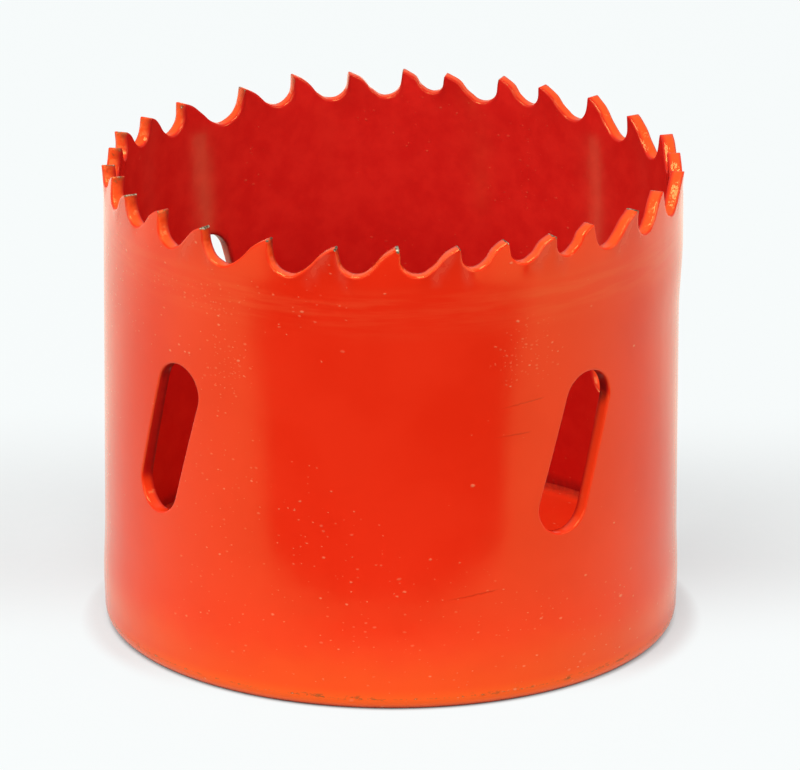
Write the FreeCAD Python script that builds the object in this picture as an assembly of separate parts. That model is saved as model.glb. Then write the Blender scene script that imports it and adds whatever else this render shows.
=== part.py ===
import FreeCAD, Part
import math
import os

os.makedirs("parts", exist_ok=True)

# Bi-metal hole saw for a standard arbor, standing on its end cap with its teeth up.
# Origin: centre of the base.  +Z runs up the cutting axis, towards the teeth.
# Angles run anticlockwise seen from above, from the first slot, which looks along -Y.

# Cup: one strip of steel rolled round and butt welded, then enamelled all over.
rim_diameter = 51.0
wall_thickness = 1.2
overall_height = 42.6

# The pressed-in end cap swells the lower end of the wall a little.
swell_out = 0.12
swell_height = 4.4
swell_end_height = 9.0
rounded_edge_height = 1.1
rounded_edge_depth = 0.7

# Teeth: steps from one tip to the next, in degrees, run from coarse to fine and back.
# The last tooth closes the ring at the butt weld, so its own step is what remains.
first_tip_angle = -26.7
tip_steps = (
    11.6, 11.6, 13.7, 14.9, 14.4, 12.3, 12.1, 10.3, 10.0, 10.3,
    12.2, 12.9, 13.3, 11.9, 12.2, 13.9, 14.3, 12.3, 10.0, 11.7,
    9.0, 11.3, 11.8, 12.3, 15.9, 13.7, 10.8, 10.5, 11.0,
)
worn_tips = {24: 0.3, 25: 0.3}
cutting_face_angle = 8.0
gullet_depth_per_pitch = 0.46
gullet_radius_per_pitch = 0.28
tip_land = 0.15
relief_length = 0.9
relief_angle = 26.0
tooth_set = 0.24
straight_below_gullets = 0.5

# Slots that clear chips and let a lever push the core out.
slot_count = 4
slot_length = 14.8
slot_width = 5.1
slot_tilt = 16.9
slot_centre_height = 22.05

# End cap: a thick disc seated in the wall, threaded for a 5/8 in - 18 UNF arbor.
cap_thickness = 4.3
cap_edge_chamfer = 0.4
thread_minor_diameter = 14.4
thread_chamfer = 0.8
pin_hole_diameter = 6.8
pin_circle_diameter = 27.0
pin_hole_count = 2
pin_hole_angle = 45.0

# Derived sizes.
UP = FreeCAD.Vector(0, 0, 1)
CENTRE = FreeCAD.Vector(0, 0, 0)
outer_radius = rim_diameter / 2
inner_radius = outer_radius - wall_thickness
cutter_reach = 3 * wall_thickness

tip_angles = [first_tip_angle]
for step in tip_steps:
    tip_angles.append(tip_angles[-1] + step)
tooth_count = len(tip_angles)
closing_step = 360.0 - sum(tip_steps)
gap_steps = list(tip_steps) + [closing_step]


def arc_length(step):
    return math.radians(step) * outer_radius


gullet_depths = [gullet_depth_per_pitch * arc_length(s) for s in gap_steps]
gullet_radii = [gullet_radius_per_pitch * arc_length(s) for s in gap_steps]
face_slant = math.radians(cutting_face_angle)
# Run from each tip to the deepest point of the gullet after it.
gullet_runs = [
    (depth - radius) * math.tan(face_slant) + radius / math.cos(face_slant)
    for depth, radius in zip(gullet_depths, gullet_radii)
]
tooth_base_height = overall_height - max(gullet_depths) - straight_below_gullets


def point(r, z):
    return FreeCAD.Vector(r, 0, z)


def revolved(edges, start_angle, sweep):
    """Turns a closed section in the XZ plane about the axis, starting at an angle of the saw."""
    face = Part.Face(Part.Wire(edges))
    face.rotate(CENTRE, UP, start_angle - 90.0)
    return face.revolve(CENTRE, UP, sweep)


def wall_section():
    """Section of the straight wall, with its swell over the cap and its rounded lower edge."""
    edge_radius = (rounded_edge_depth**2 + rounded_edge_height**2) / (2 * rounded_edge_depth)
    edge_sweep = math.asin(rounded_edge_height / edge_radius)
    edge_centre = point(outer_radius - edge_radius, rounded_edge_height)
    between = edge_centre + point(math.cos(edge_sweep / 2), -math.sin(edge_sweep / 2)) * edge_radius
    foot = point(outer_radius - rounded_edge_depth, 0)
    shoulder = point(outer_radius, rounded_edge_height)
    swell = point(outer_radius + swell_out, swell_height)
    swell_end = point(outer_radius, swell_end_height)
    outer_top = point(outer_radius, tooth_base_height)
    inner_top = point(inner_radius, tooth_base_height)
    inner_foot = point(inner_radius, 0)
    swelling = Part.BSplineCurve()
    swelling.interpolate(
        Points=[shoulder, swell, swell_end],
        InitialTangent=point(swell_out, swell_height - rounded_edge_height),
        FinalTangent=UP,
    )
    return [
        Part.Arc(foot, between, shoulder).toShape(),
        swelling.toShape(),
        Part.makeLine(swell_end, outer_top),
        Part.makeLine(outer_top, inner_top),
        Part.makeLine(inner_top, inner_foot),
        Part.makeLine(inner_foot, foot),
    ]


def tip_height(k):
    """Height of tip k; a few tips are worn lower than the rest."""
    return overall_height - worn_tips.get(k % tooth_count, 0.0)


def gullet_centre_angle(k):
    """Angle of the deepest point of the gullet that follows tip k."""
    return tip_angles[k] + math.degrees(math.asin(gullet_runs[k] / outer_radius))


def tooth_blank(k):
    """Ring sector for tooth k, straight at its root and bent out or in by the set above it."""
    before = (k - 1) % tooth_count
    start = gullet_centre_angle(before) - (360.0 if k == 0 else 0.0)
    sweep = gullet_centre_angle(k) - start
    bend_height = overall_height - min(gullet_depths[before], gullet_depths[k])
    lean = tooth_set if k % 2 else -tooth_set
    corners = [
        point(inner_radius, tooth_base_height),
        point(outer_radius, tooth_base_height),
        point(outer_radius, bend_height),
        point(outer_radius + lean, tip_height(k)),
        point(inner_radius + lean, tip_height(k)),
        point(inner_radius, bend_height),
    ]
    return revolved(Part.makePolygon(corners + corners[:1]).Edges, start, sweep)


def gullet_section(k, radius):
    """Outline of the gap between tip k and the next tip, where it cuts a cylinder of this radius."""
    half_gap = outer_radius * math.sin(math.radians(gap_steps[k]) / 2)
    floor_radius = gullet_radii[k]
    depth = gullet_depths[k]
    slope = math.radians(relief_angle)
    next_tip = tip_height(k + 1)
    middle_x = gullet_runs[k] - half_gap
    middle_z = overall_height - depth + floor_radius
    heel_x = half_gap - tip_land - relief_length * math.cos(slope)
    heel_z = next_tip - relief_length * math.sin(slope)
    # The straight back of the next tooth leaves the round floor as its tangent.
    reach = math.atan2(heel_z - middle_z, heel_x - middle_x)
    distance = math.hypot(heel_x - middle_x, heel_z - middle_z)
    floor_start = face_slant - math.pi
    floor_end = reach - math.acos(floor_radius / distance)

    def at(x, z):
        return FreeCAD.Vector(x * radius / outer_radius, -radius, z)

    def on_floor(angle):
        return at(middle_x + floor_radius * math.cos(angle), middle_z + floor_radius * math.sin(angle))

    top = overall_height + depth
    corners = [
        at(half_gap - tip_land, top),
        at(-half_gap, top),
        at(-half_gap, overall_height),
        on_floor(floor_start),
    ]
    half_way = (floor_start + floor_end) / 2
    floor = Part.Arc(on_floor(floor_start), on_floor(half_way), on_floor(floor_end))
    back = [
        on_floor(floor_end),
        at(heel_x, heel_z),
        at(half_gap - tip_land, next_tip),
        corners[0],
    ]
    return Part.Wire(Part.makePolygon(corners).Edges + [floor.toShape()] + Part.makePolygon(back).Edges)


def gullet_cutter(k):
    """Milled gap with radial sides: steep cutting face, round floor, long straight back."""
    reach = 2 * wall_thickness
    sections = [gullet_section(k, r) for r in (inner_radius - reach, outer_radius + reach)]
    cutter = Part.makeLoft(sections, True, True)
    cutter.rotate(CENTRE, UP, tip_angles[k] + gap_steps[k] / 2)
    return cutter


def slot_cutter(k):
    """Round-ended slot through the wall, leaning towards the cutting direction."""
    half_width = slot_width / 2
    half_run = slot_length / 2 - half_width
    top_left = FreeCAD.Vector(-half_width, 0, half_run)
    top = FreeCAD.Vector(0, 0, half_run + half_width)
    top_right = FreeCAD.Vector(half_width, 0, half_run)
    low_right = FreeCAD.Vector(half_width, 0, -half_run)
    low = FreeCAD.Vector(0, 0, -half_run - half_width)
    low_left = FreeCAD.Vector(-half_width, 0, -half_run)
    edges = [
        Part.Arc(top_left, top, top_right).toShape(),
        Part.makeLine(top_right, low_right),
        Part.Arc(low_right, low, low_left).toShape(),
        Part.makeLine(low_left, top_left),
    ]
    profile = Part.Face(Part.Wire(edges))
    profile.rotate(CENTRE, FreeCAD.Vector(0, 1, 0), slot_tilt)
    profile.translate(FreeCAD.Vector(0, -outer_radius - cutter_reach, slot_centre_height))
    cutter = profile.extrude(FreeCAD.Vector(0, 2 * cutter_reach, 0))
    cutter.rotate(CENTRE, UP, k * 360.0 / slot_count)
    return cutter


def saw_body():
    """Wall, tooth blanks with their set, gullets milled between the tips, slots through the wall."""
    wall = revolved(wall_section(), 0, 360)
    cup = wall.fuse([tooth_blank(k) for k in range(tooth_count)])
    gullets = [gullet_cutter(k) for k in range(tooth_count)]
    slots = [slot_cutter(k) for k in range(slot_count)]
    return cup.cut(gullets + slots).removeSplitter()


def end_cap():
    """Disc with a chamfered edge, a chamfered threaded hole and the holes for the drive pins."""
    hole_radius = thread_minor_diameter / 2
    corners = [
        point(hole_radius + thread_chamfer, 0),
        point(inner_radius, 0),
        point(inner_radius, cap_thickness - cap_edge_chamfer),
        point(inner_radius - cap_edge_chamfer, cap_thickness),
        point(hole_radius + thread_chamfer, cap_thickness),
        point(hole_radius, cap_thickness - thread_chamfer),
        point(hole_radius, thread_chamfer),
    ]
    disc = revolved(Part.makePolygon(corners + corners[:1]).Edges, 0, 360)
    pin_holes = []
    for k in range(pin_hole_count):
        turn = math.radians(pin_hole_angle + k * 360.0 / pin_hole_count)
        across = FreeCAD.Vector(math.sin(turn), -math.cos(turn), 0)
        foot = across * (pin_circle_diameter / 2)
        pin_holes.append(Part.makeCylinder(pin_hole_diameter / 2, cap_thickness, foot, UP))
    return disc.cut(pin_holes)


saw_body().exportStep("parts/saw_body.step")
end_cap().exportStep("parts/end_cap.step")
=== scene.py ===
import math

import bpy
import numpy as np
from mathutils import Matrix, Vector
from mathutils.geometry import delaunay_2d_cdt


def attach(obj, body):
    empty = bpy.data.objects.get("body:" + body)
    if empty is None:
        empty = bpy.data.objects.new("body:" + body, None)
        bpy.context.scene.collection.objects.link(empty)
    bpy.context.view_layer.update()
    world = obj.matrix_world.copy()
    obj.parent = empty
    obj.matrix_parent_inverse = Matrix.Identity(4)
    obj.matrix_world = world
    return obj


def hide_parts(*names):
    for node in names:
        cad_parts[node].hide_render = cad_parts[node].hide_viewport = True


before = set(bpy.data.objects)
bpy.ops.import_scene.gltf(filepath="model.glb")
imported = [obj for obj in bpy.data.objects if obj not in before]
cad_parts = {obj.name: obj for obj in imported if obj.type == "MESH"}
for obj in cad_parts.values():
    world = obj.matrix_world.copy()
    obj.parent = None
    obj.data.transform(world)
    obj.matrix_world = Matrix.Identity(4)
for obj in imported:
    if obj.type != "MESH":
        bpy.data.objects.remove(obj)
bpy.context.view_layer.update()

# ---------------------------------------------------------------- sizes of the saw, millimetres
MM = 0.001
RIM_RADIUS = 25.5
WALL = 1.2
INNER_RADIUS = RIM_RADIUS - WALL
HEIGHT = 42.6
# Once round the outside, and the side of the square that the unrolled map's 0 to 1 covers.
ROUND = 2 * math.pi * RIM_RADIUS
MAP_SIZE = 50.0
SWELL_OUT, SWELL_HEIGHT, SWELL_END = 0.12, 4.4, 9.0
LIP_HEIGHT, LIP_DEPTH = 1.1, 0.7
FIRST_TIP = -26.7
STEPS = [
    11.6, 11.6, 13.7, 14.9, 14.4, 12.3, 12.1, 10.3, 10.0, 10.3, 12.2, 12.9, 13.3, 11.9, 12.2,
    13.9, 14.3, 12.3, 10.0, 11.7, 9.0, 11.3, 11.8, 12.3, 15.9, 13.7, 10.8, 10.5, 11.0,
]
STEPS.append(360.0 - sum(STEPS))
TEETH = len(STEPS)
TIPS = np.radians(FIRST_TIP + np.concatenate([[0.0], np.cumsum(STEPS[:-1])])) * RIM_RADIUS
PITCHES = np.radians(np.array(STEPS)) * RIM_RADIUS
# Two tips beside each other are worn lower.
WORN = np.zeros(TEETH)
WORN[[24, 25]] = 0.3
FACE_SLANT = math.radians(8.0)
GULLET_DEPTHS = 0.46 * PITCHES
GULLET_RADII = 0.28 * PITCHES
# From each tip along to the middle of its gullet's floor.
GULLET_RUNS = (GULLET_DEPTHS - GULLET_RADII) * math.tan(FACE_SLANT)
GULLET_RUNS += GULLET_RADII / math.cos(FACE_SLANT)
LAND, RELIEF_LENGTH, RELIEF_ANGLE = 0.15, 0.9, math.radians(26.0)
BACK_SWAY, TIP_DROP = 0.06, 0.07
TOOTH_SET, SET_HEIGHT = 0.24, 3.7
FLARE, FLARE_ANGLE, FLARE_START, FLARE_FULL = 0.3, math.radians(145.0), 28.5, 35.5
SLOTS = 4
SLOT_LENGTH, SLOT_WIDTH, SLOT_TILT, SLOT_HEIGHT = 14.8, 5.1, math.radians(16.9), 22.05
# Enamel rounds the slots' edges by this radius.  Along the rim it hangs further down the outside
# of the edge, so that turn is this many times as deep as it is wide.
SLOT_ROUNDING, EDGE_SAG = 0.17, 1.9
# The flat sheets of the wall start this many radii in from an edge.
SUPPORT = 1.5
CAP_THICKNESS, CAP_EDGE, CAP_FILLET = 4.3, 0.3, 0.7
THREAD_MINOR, THREAD_MAJOR, THREAD_PITCH, THREAD_MOUTH = 7.2, 7.94, 25.4 / 18, 8.0
PIN_RADIUS, PIN_CIRCLE, PIN_ANGLE, PIN_EDGE = 3.4, 13.5, math.radians(45.0), 0.3
# How far round from the frame's front the saw is seen.
VIEW_TURN = math.radians(50.3)
RNG = np.random.default_rng(11)
LEANS = RNG.uniform(0.88, 1.12, TEETH)


# ---------------------------------------------------------------- numpy helpers
# Large comparisons run in batches, to spare memory.
FILL_BATCHES, CLEAR_BATCH = 40, 400


def smooth_step(x, low, high):
    """0 below low, 1 above high, and an even S curve between."""
    t = np.clip((x - low) / (high - low), 0.0, 1.0)
    return t * t * (3 - 2 * t)


def blur(values, spacing, width):
    """Values on an even closed run, averaged with a bell curve of this width."""
    frequency = np.fft.rfftfreq(len(values), spacing)
    bell = np.exp(-2 * (math.pi * width * frequency) ** 2)
    return np.fft.irfft(np.fft.rfft(values) * bell, len(values))


def waves(position, period, shortest, seed):
    """A smooth closed random wave of height about 1 along a run of this period: a sum of sines
    down to the shortest wave, each with its own phase and size."""
    rng = np.random.default_rng(seed)
    count = max(2, int(period / shortest))
    order = np.arange(1, count + 1)
    phase = rng.uniform(0, 2 * math.pi, count)
    size = rng.normal(0, 1, count) / math.sqrt(count)
    return (np.sin(2 * math.pi * np.outer(position / period, order) + phase) * size).sum(1)


def fill(loops, inside):
    """Triangles that fill the area within the first loop and outside the others: of all the
    triangles between the points, those kept have middles that a level ray leaves through an odd
    number of edges.  The loops' points come first in the result, then the inside points."""
    points = np.concatenate(loops + [inside])
    edges, start = [], 0
    for loop in loops:
        ids = np.arange(len(loop)) + start
        edges.append(np.stack([ids, np.roll(ids, -1)], 1))
        start += len(loop)
    edges = np.concatenate(edges)
    found = delaunay_2d_cdt(points.tolist(), edges.tolist(), [], 0, 1e-9, True)
    if len(found[0]) != len(points):
        raise RuntimeError("points coincide in an outline")
    origin = np.array([ids[0] for ids in found[3]])
    tris = origin[np.array(found[2])]
    middle = points[tris].mean(1)
    crossed = np.zeros(len(tris), int)
    a, b = points[edges[:, 0]], points[edges[:, 1]]
    for part in np.array_split(np.arange(len(tris)), FILL_BATCHES):
        x, y = middle[part, 0][:, None], middle[part, 1][:, None]
        spans = (a[:, 1] > y) != (b[:, 1] > y)
        height = np.where(b[:, 1] == a[:, 1], 1.0, b[:, 1] - a[:, 1])
        crossing = a[:, 0] + (y - a[:, 1]) / height * (b[:, 0] - a[:, 0])
        crossed[part] = (spans & (x < crossing)).sum(1)
    return points, tris[crossed % 2 == 1]


def clear_of(points, lines, gap):
    """The points that stay this far from every point of the lines."""
    keep = np.ones(len(points), bool)
    for part in np.array_split(np.arange(len(points)), max(1, len(points) // CLEAR_BATCH)):
        apart = np.hypot(
            points[part, 0][:, None] - lines[:, 0], points[part, 1][:, None] - lines[:, 1]
        )
        keep[part] = apart.min(1) > gap
    return points[keep]


def ring_quads(rings):
    """Quads between following rings of vertex numbers, each ring closed."""
    quads = []
    for low, high in zip(rings[:-1], rings[1:]):
        quads.append(np.stack([low, np.roll(low, -1), np.roll(high, -1), high], 1))
    return np.concatenate(quads)


def piece(name, vertices, faces, uv, material):
    """A smooth mesh object from millimetre points and faces, with a map of unrolled places."""
    mesh = bpy.data.meshes.new(name)
    mesh.from_pydata((vertices * MM).tolist(), [], [f.tolist() for part in faces for f in part])
    mesh.validate()
    layer = mesh.uv_layers.new(name="unrolled")
    corner = np.empty(len(mesh.loops), np.int32)
    mesh.loops.foreach_get("vertex_index", corner)
    # A face that crosses the seam has its far corners carried one turn on.
    uv = uv[corner]
    start = np.array([p.loop_start for p in mesh.polygons])
    size = np.array([p.loop_total for p in mesh.polygons])
    low = np.repeat(np.minimum.reduceat(uv[:, 0], start), size)
    high = np.repeat(np.maximum.reduceat(uv[:, 0], start), size)
    crosses = (high - low > ROUND / 2) & (uv[:, 0] < (low + high) / 2)
    uv[crosses, 0] += ROUND
    layer.data.foreach_set("uv", (uv / MAP_SIZE).astype(np.float32).ravel())
    mesh.shade_smooth()
    thing = bpy.data.objects.new(name, mesh)
    bpy.context.scene.collection.objects.link(thing)
    mesh.materials.append(material)
    return thing


def paint(thing, name, values):
    """Stores one value per vertex for a material to read."""
    layer = thing.data.attributes.new(name, "FLOAT", "POINT")
    layer.data.foreach_set("value", values.astype(np.float32))


# ---------------------------------------------------------------- colours and materials
SMOOTH = {"interpolation_type": "SMOOTHSTEP"}
COLOUR = {"data_type": "RGBA"}


def srgb(code):
    """Turns an sRGB hex colour into the linear values that shaders use."""
    values = [int(code[i : i + 2], 16) / 255 for i in (1, 3, 5)]
    linear = [v / 12.92 if v <= 0.04045 else ((v + 0.055) / 1.055) ** 2.4 for v in values]
    return (*linear, 1.0)


def new_material(name):
    """A material with an empty node tree."""
    material = bpy.data.materials.new(name)
    material.use_nodes = True
    material.node_tree.nodes.clear()
    return material


def add(material, kind, inputs=(), **settings):
    """Adds one node with its settings and gives back its outputs.  Each input gets a value or a
    link: a list fills the sockets in order, and a dict fills those that it names or numbers."""
    tree = material.node_tree
    node = tree.nodes.new("ShaderNode" + kind)
    for key, value in settings.items():
        setattr(node, key, value)
    for key, value in inputs.items() if isinstance(inputs, dict) else enumerate(inputs):
        if isinstance(value, bpy.types.NodeSocket):
            tree.links.new(value, node.inputs[key])
        else:
            node.inputs[key].default_value = value
    return node.outputs


def red_gloss_enamel():
    """Thick red-orange stoving enamel dipped over steel: the eye gets a deep even red with a wet
    shine, a faint orange peel and vertical runs, dust nibs under the gloss with painted
    highlights, hair scratches, a darker crimson inside that is painted shade, painted light on the
    upward edges, a painted highlight along the weld, rougher streaks with a painted reflection on
    the teeth bent outwards, a foot made more orange by a painted reflection with a line of soil
    round it, painted shade in the corners drawn as a dark matt finish, and small chips of bare
    steel at the tooth tips."""
    m = new_material("red_gloss_enamel")
    place = add(m, "TexCoord")["Object"]
    # Metres are turned to millimetres, so every scale below is in cycles per millimetre.
    at = add(m, "Mapping", {"Vector": place, "Scale": (1 / MM, 1 / MM, 1 / MM)})[0]
    flat = add(m, "UVMap", uv_map="unrolled")[0]
    flat = add(m, "Mapping", {"Vector": flat, "Scale": (MAP_SIZE, MAP_SIZE, MAP_SIZE)})[0]
    up = add(m, "SeparateXYZ", [at])[2]
    wear, inside, edge, sheen_streaks, painted_shade = (
        add(m, "Attribute", attribute_name=name)["Fac"]
        for name in ("wear", "inside", "edge", "sheen_streaks", "painted_shade")
    )
    # Random fields in the solid or on the unrolled wall: scale, detail and roughness.
    field = {}
    for name, where, scale, detail, roughness in (
        ("tone", at, 0.09, 3.0, 0.5),
        ("foot reflection", at, 0.22, 2.0, 0.5),
        ("cloud", at, 0.5, 4.0, 0.6),
        ("scratched areas", flat, 0.12, 1.0, 0.5),
        ("bent sheen", at, 1.1, 3.0, 0.5),
        ("soiled areas", flat, 0.09, 2.0, 0.5),
        ("mottle", at, 1.6, 4.0, 0.65),
        ("grain", at, 1.9, 4.0, 0.65),
        ("steel", at, 3.0, 3.0, 0.5),
        ("peel", at, 0.42, 1.0, 0.5),
        ("fine peel", at, 1.5, 1.0, 0.5),
        ("lumps", at, 1.7, 2.0, 0.5),
    ):
        inputs = {"Vector": where, "Scale": scale, "Detail": detail, "Roughness": roughness}
        field[name] = add(m, "TexNoise", inputs)[0]
    # Fields drawn out along or up the unrolled wall: scale along and up, detail and roughness.
    for name, along, upward, detail, roughness in (
        ("weld", 0.11, 1.1, 3.0, 0.6),
        ("scratches", 0.035, 4.5, 1.0, 0.4),
        ("crumbs", 0.9, 2.2, 4.0, 0.7),
        ("runs", 0.3, 0.012, 1.0, 0.5),
    ):
        drawn = add(m, "Mapping", {"Vector": flat, "Scale": (along, upward, 1.0)})[0]
        inputs = {"Vector": drawn, "Scale": 1.0, "Detail": detail, "Roughness": roughness}
        field[name] = add(m, "TexNoise", inputs)[0]

    # The colour is a base and coats over it, each a share and a colour, kept here in their order.
    tone = add(m, "MapRange", [field["tone"], 0.35, 0.65], **SMOOTH)[0]
    colour = add(m, "Mix", {0: tone, 6: srgb("#f52b10"), 7: srgb("#fa3115")}, **COLOUR)[2]
    coats = []

    # Painted reflection: the foot, most of all over its rounded edge, is more orange, as the floor
    # beside it shows in the gloss.
    waver = add(m, "Math", [field["foot reflection"], 3.0], operation="MULTIPLY")[0]
    foot = add(m, "Math", [up, waver], operation="ADD")[0]
    foot = add(m, "MapRange", [foot, 3.4, 8.4, 1.0, 0.0], **SMOOTH)[0]
    foot = add(m, "Math", [foot, 0.4], operation="MULTIPLY")[0]
    rounded = add(m, "MapRange", [up, 0.7, 2.1, 0.55, 0.0], **SMOOTH)[0]
    foot = add(m, "Math", [foot, rounded], operation="ADD")[0]
    coats.append((foot, srgb("#ff5b1a")))

    # Painted shade: inside, the enamel is darker and more crimson, darker still lower in the cup,
    # with a faint cloudiness.
    cloud = add(m, "MapRange", [field["cloud"], 0.3, 0.7], **SMOOTH)[0]
    cloud = add(m, "Mix", {0: cloud, 6: srgb("#d01d18"), 7: srgb("#da251d")}, **COLOUR)[2]
    low = add(m, "MapRange", [up, 18.0, 32.0, 0.35, 0.0], **SMOOTH)[0]
    cloud = add(m, "Mix", {0: low, 6: cloud, 7: srgb("#b80a0c")}, **COLOUR)[2]
    coats.append((inside, cloud))

    # Painted light from above: the cut edges of the teeth, and the slots' edges that look up, are
    # a lighter orange.
    lit_edge = add(m, "Math", [edge, 0.85], operation="MULTIPLY")[0]
    coats.append((lit_edge, srgb("#ff5620")))

    # A painted highlight: a faint lighter band, drawn out level, along the toothed strip's weld.
    above = add(m, "MapRange", [up, 33.5, 37.0], **SMOOTH)[0]
    below = add(m, "MapRange", [up, 37.4, 39.6, 1.0, 0.0], **SMOOTH)[0]
    band = add(m, "Math", [above, below], operation="MULTIPLY")[0]
    drawn_out = add(m, "MapRange", [field["weld"], 0.4, 0.66], **SMOOTH)[0]
    band = add(m, "Math", [band, drawn_out], operation="MULTIPLY")[0]
    outside = add(m, "Math", [1.0, inside], operation="SUBTRACT")[0]
    band = add(m, "Math", [band, outside], operation="MULTIPLY")[0]
    band = add(m, "Math", [band, 0.13], operation="MULTIPLY")[0]
    coats.append((band, srgb("#ff7a45")))

    # Dust nibs: a point in some of the cells, about a tenth of a millimetre to a quarter across.
    warp = add(m, "TexNoise", {"Vector": flat, "Scale": 3.0, "Detail": 2.0})["Color"]
    warped = add(m, "VectorMath", [warp, (0.16, 0.16, 0.0), flat], operation="MULTIPLY_ADD")[0]
    # They lie thickest in three clusters, given as run, height and half sizes in mm.
    clusters = ((34.8, 32.3, 7.2, 6.6), (4.5, 36.4, 11.0, 3.4), (7.5, 30.5, 5.0, 6.5))
    thick = 0.0
    for run, rise, wide, high in clusters:
        off = add(m, "VectorMath", [flat, (run, rise, 0.0)], operation="SUBTRACT")[0]
        off = add(m, "VectorMath", [off, (1 / wide, 1 / high, 0.0)], operation="MULTIPLY")[0]
        off = add(m, "VectorMath", [off], operation="LENGTH")["Value"]
        cluster = add(m, "MapRange", [off, 0.0, 1.1, 1.0, 0.0], **SMOOTH)[0]
        thick = add(m, "Math", [thick, cluster], operation="MAXIMUM")[0]
    # Each layer: cells per mm, the most and the least radius in mm, the chance that a cell has to
    # pass, the scale of patches outside the clusters or 0 for none, and the nibs' paleness.
    layers = (
        (0.8, 0.18, 0.055, 0.41, 0.07, 0.55),
        (2.0, 0.11, 0.06, 0.41, 0.055, 0.55),
        (2.6, 0.09, 0.062, 0.5, 0.0, 0.3),
    )
    nib = 0.0
    for scale, biggest, smallest, least, spread, paleness in layers:
        drawn = add(m, "Mapping", {"Vector": warped, "Scale": (0.75, 1.2, 1.0)})[0]
        kind = "3D" if spread else "2D"
        inputs = {"Vector": drawn, "Scale": scale}
        cells = add(m, "TexVoronoi", inputs, voronoi_dimensions=kind)
        chance, rank, gleam = add(m, "SeparateColor", [cells["Color"]])
        size = add(m, "Math", [rank, 4.0], operation="POWER")[0]
        size = add(m, "Math", [size, biggest * scale], operation="MULTIPLY")[0]
        patch = thick
        if spread:
            inputs = {"Vector": at, "Scale": spread, "Detail": 3.0, "Roughness": 0.5}
            patch = add(m, "TexNoise", inputs)[0]
            patch = add(m, "MapRange", [patch, 0.42, 0.6], **SMOOTH)[0]
            patch = add(m, "Math", [thick, patch], operation="MAXIMUM")[0]
        rare = add(m, "Math", [chance, patch], operation="MULTIPLY")[0]
        rare = add(m, "Math", [rare, least], operation="GREATER_THAN")[0]
        reach = add(m, "Math", [size, smallest * scale], operation="ADD")[0]
        reach = add(m, "Math", [cells["Distance"], reach], operation="DIVIDE")[0]
        dot = add(m, "Math", [1.0, reach], operation="SUBTRACT", use_clamp=True)[0]
        dot = add(m, "Math", [dot, 0.6, 0.3], operation="SMOOTH_MIN")[0]
        strong = add(m, "Math", [gleam, paleness], operation="MULTIPLY")[0]
        strong = add(m, "Math", [paleness - 0.1, strong], operation="ADD")[0]
        dot = add(m, "Math", [dot, strong], operation="MULTIPLY")[0]
        dot = add(m, "Math", [dot, rare], operation="MULTIPLY")[0]
        nib = add(m, "Math", [nib, dot], operation="MAXIMUM")[0]
    # The nibs' paler colour is a painted highlight on each, weaker inside.
    outside = add(m, "Math", [inside, 0.8], operation="MULTIPLY")[0]
    outside = add(m, "Math", [1.0, outside], operation="SUBTRACT")[0]
    pale = add(m, "Math", [nib, outside], operation="MULTIPLY")[0]
    pale = add(m, "Math", [pale, 0.9], operation="MULTIPLY", use_clamp=True)[0]
    coats.append((pale, srgb("#ff9a70")))

    # Hair scratches, nearly level, long and few.
    scratch = add(m, "MapRange", [field["scratches"], 0.725, 0.75], **SMOOTH)[0]
    broken = add(m, "MapRange", [field["scratched areas"], 0.5, 0.62], **SMOOTH)[0]
    scratch = add(m, "Math", [scratch, broken], operation="MULTIPLY")[0]
    # Three deeper ones beside a slot and below it, as run start, run end, height and slope in mm.
    cuts = ((31.9, 36.8, 27.5, 0.1), (31.4, 35.5, 24.9, 0.03), (27.0, 32.4, 10.2, 0.12))
    deep = 0.0
    run, rise, _ = add(m, "SeparateXYZ", [warped])
    for begin, end, level, slope in cuts:
        line = [run, slope, level - slope * begin]
        line = add(m, "Math", line, operation="MULTIPLY_ADD")[0]
        line = add(m, "Math", [rise, line], operation="SUBTRACT")[0]
        line = add(m, "Math", [line], operation="ABSOLUTE")[0]
        line = add(m, "MapRange", [line, 0.0, 0.11, 1.0, 0.0], **SMOOTH)[0]
        begun = add(m, "MapRange", [run, begin, begin + 2.4], **SMOOTH)[0]
        ended = add(m, "MapRange", [run, end - 1.0, end, 1.0, 0.0], **SMOOTH)[0]
        length = add(m, "Math", [begun, ended], operation="MULTIPLY")[0]
        line = add(m, "Math", [line, length], operation="MULTIPLY")[0]
        deep = add(m, "Math", [deep, line], operation="MAXIMUM")[0]
    dark = add(m, "Math", [deep, 0.45], operation="MULTIPLY")[0]
    coats.append((dark, srgb("#b81605")))
    scratch = add(m, "Math", [scratch, 0.5], operation="MULTIPLY")[0]
    scratch = add(m, "Math", [scratch, deep], operation="MAXIMUM")[0]

    # Streaks on the outward teeth: paler as a painted reflection, with rougher gloss.
    sheen_streak = add(m, "MapRange", [field["bent sheen"], 0.3, 0.6, 0.55, 1.0], **SMOOTH)[0]
    sheen_streak = add(m, "Math", [sheen_streaks, sheen_streak], operation="MULTIPLY")[0]
    bend_reflection = add(m, "Math", [sheen_streak, 0.25], operation="MULTIPLY")[0]
    coats.append((bend_reflection, srgb("#e8745a")))

    # Soil caught round the lip at the foot, in broken specks of brown.
    line = add(m, "Math", [up, 1.15], operation="SUBTRACT")[0]
    line = add(m, "Math", [line], operation="ABSOLUTE")[0]
    line = add(m, "MapRange", [line, 0.0, 0.34, 1.0, 0.0], **SMOOTH)[0]
    crumbs = add(m, "MapRange", [field["crumbs"], 0.5, 0.62], **SMOOTH)[0]
    gathered = add(m, "MapRange", [field["soiled areas"], 0.42, 0.56], **SMOOTH)[0]
    soil = add(m, "Math", [line, crumbs], operation="MULTIPLY")[0]
    soil = add(m, "Math", [soil, gathered], operation="MULTIPLY")[0]
    soil = add(m, "Math", [soil, 0.8], operation="MULTIPLY")[0]
    coats.append((soil, srgb("#7a4a26")))

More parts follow.
